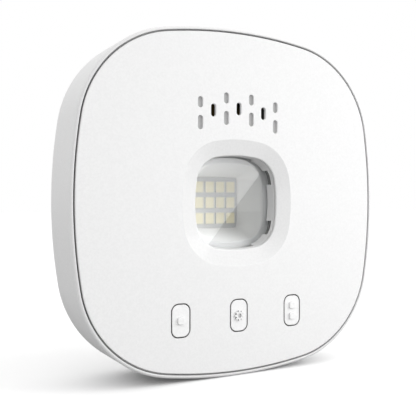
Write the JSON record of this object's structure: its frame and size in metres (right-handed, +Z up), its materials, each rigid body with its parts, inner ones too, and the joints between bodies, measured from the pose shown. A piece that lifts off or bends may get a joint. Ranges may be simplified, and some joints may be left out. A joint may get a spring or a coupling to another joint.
{
  "type": "garage door controller",
  "caption": "Rounded square garage door controller with a square strobe window, sound slots, push buttons and a slide-on wall bracket.",
  "frame": {"origin": "centre of the wall bracket's back face, on the wall", "axes": "+X to the right seen from the front, +Y into the wall, +Z up; the front faces -Y"},
  "size_m": [0.13, 0.0316, 0.13],
  "materials": {
    "cover_white": "fine satin texture",
    "housing_white": "fine satin texture",
    "button_white": "satin",
    "clear_lens": "clear polished",
    "reflector_white": "glossy white",
    "led_yellow": "cast resin",
    "pale_board": "white solder mask",
    "green_board": "solder mask",
    "dark_plastic": "moulded",
    "black_rubber": "foam rubber",
    "brass_parts": "stamped",
    "red_wire": "insulation",
    "ivory_plastic": "moulded",
    "steel_parts": "zinc plated",
    "capacitor_can": "sleeved",
    "grey_ribbon": "flat cable"
  },
  "bodies": {
    "bracket": {"wall_bracket": "housing_white"},
    "hub": {"rear_housing": "housing_white", "front_cover": "cover_white", "housing_screws": "steel_parts", "window_lens": "clear_lens", "light_reflector": "reflector_white", "reflector_screws": "steel_parts", "led_board": "pale_board", "strobe_leds": "led_yellow", "led_board_screws": "steel_parts", "led_header": "dark_plastic", "siren_body": "dark_plastic", "siren_disc": "brass_parts", "siren_gasket": "black_rubber", "siren_screws": "steel_parts", "siren_leads": "red_wire", "siren_socket": "ivory_plastic", "main_board": "green_board", "main_board_screws": "steel_parts", "radio_shield": "steel_parts", "controller_chip": "dark_plastic", "memory_chip": "dark_plastic", "crystal": "steel_parts", "capacitors": "capacitor_can", "inductor": "dark_plastic", "dc_jack": "dark_plastic", "dc_jack_pin": "brass_parts", "wifi_antenna": "brass_parts", "door_antenna": "red_wire", "button_board": "green_board", "switch_bodies": "dark_plastic", "button_board_screws": "steel_parts", "ribbon_cable": "grey_ribbon", "ribbon_sockets": "ivory_plastic"},
    "left_key": {"left_button": "button_white", "left_plunger": "dark_plastic"},
    "settings_key": {"settings_button": "button_white", "settings_plunger": "dark_plastic"},
    "right_key": {"right_button": "button_white", "right_plunger": "dark_plastic"}
  },
  "joints": [
    {"name": "hub_lift", "type": "slide", "parent": "bracket", "child": "hub", "axis": [0, 0, 1], "range_m": [0, 0.007]},
    {"name": "left_press", "type": "slide", "parent": "hub", "child": "left_key", "axis": [0, 1, 0], "range_m": [0, 0.0006], "stiffness_N_per_m": 1200, "springref_m": -0.0006},
    {"name": "settings_press", "type": "slide", "parent": "hub", "child": "settings_key", "axis": [0, 1, 0], "range_m": [0, 0.0006], "stiffness_N_per_m": 1200, "springref_m": -0.0006},
    {"name": "right_press", "type": "slide", "parent": "hub", "child": "right_key", "axis": [0, 1, 0], "range_m": [0, 0.0006], "stiffness_N_per_m": 1200, "springref_m": -0.0006}
  ]
}
